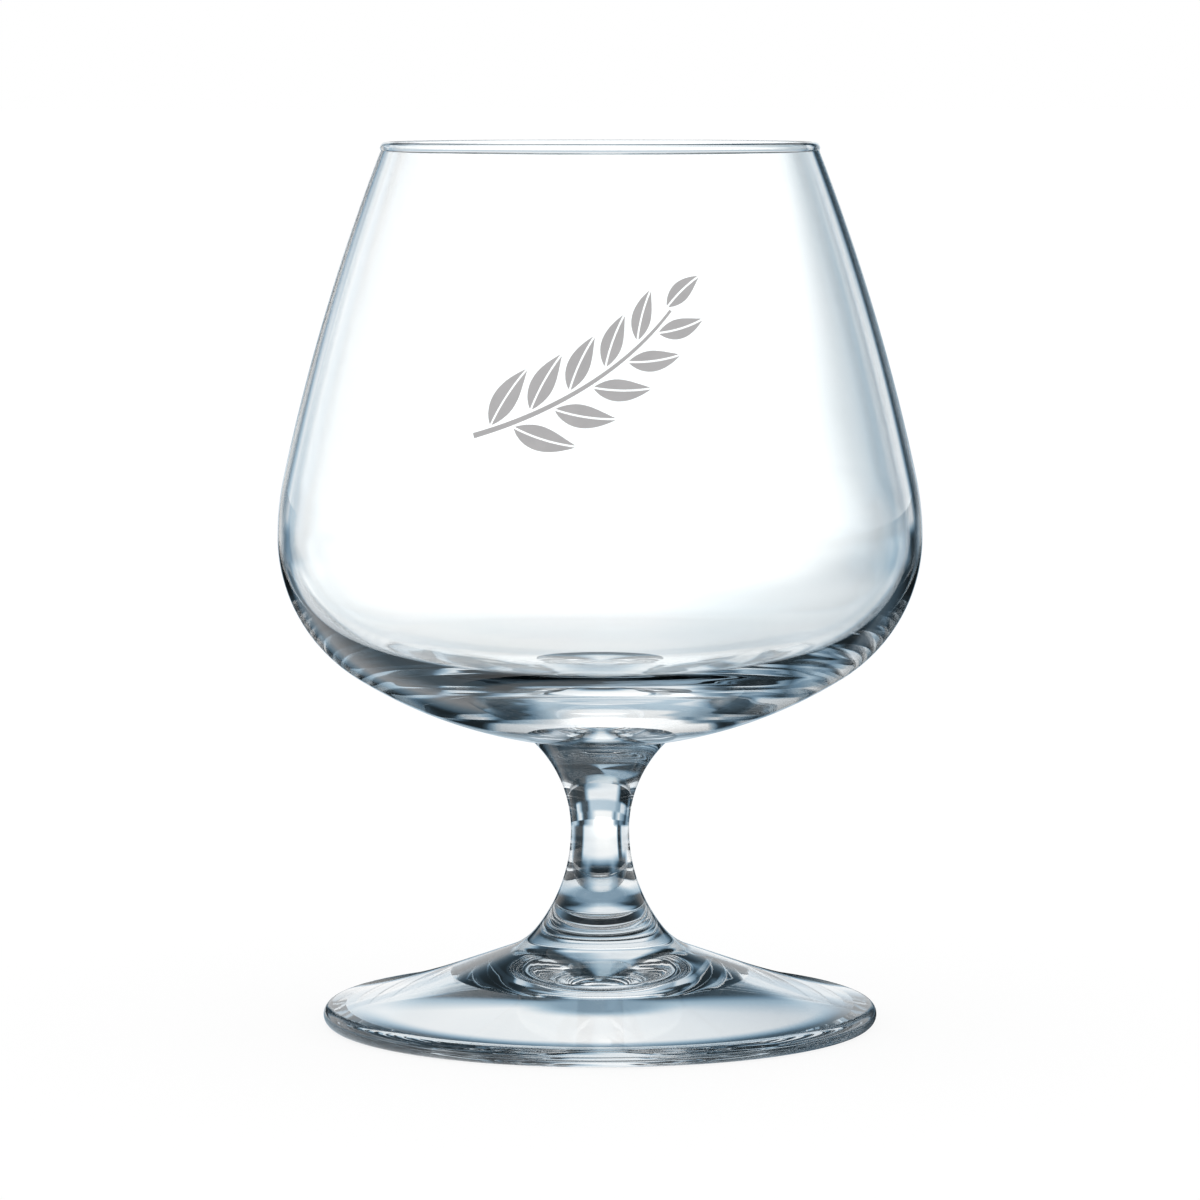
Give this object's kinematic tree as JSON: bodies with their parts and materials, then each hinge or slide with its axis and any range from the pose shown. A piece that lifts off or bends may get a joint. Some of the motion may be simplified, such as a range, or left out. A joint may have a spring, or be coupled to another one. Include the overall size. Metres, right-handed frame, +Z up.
{
  "type": "liqueur tasting glass",
  "caption": "Clear stemmed tasting glass: a bowl that is wide and thick low down and tapers to a beaded rim, on a short waisted stem and a domed round foot.",
  "frame": {"origin": "centre of the plane that the foot stands on", "axes": "+Z up along the glass's turning axis; the printed front of the bowl faces -Y"},
  "size_m": [0.0692, 0.0692, 0.095],
  "materials": {
    "bowl_glass": "clear soda-lime glass, fire polished",
    "stem_glass": "clear soda-lime glass, fire polished",
    "foot_glass": "clear soda-lime glass, pressed, with faint chill ripples",
    "grey_print": "satin screen-printed ink on the front of the bowl"
  },
  "bodies": {
    "root": {"bowl": "bowl_glass", "stem": "stem_glass", "foot": "foot_glass"}
  },
  "joints": []
}
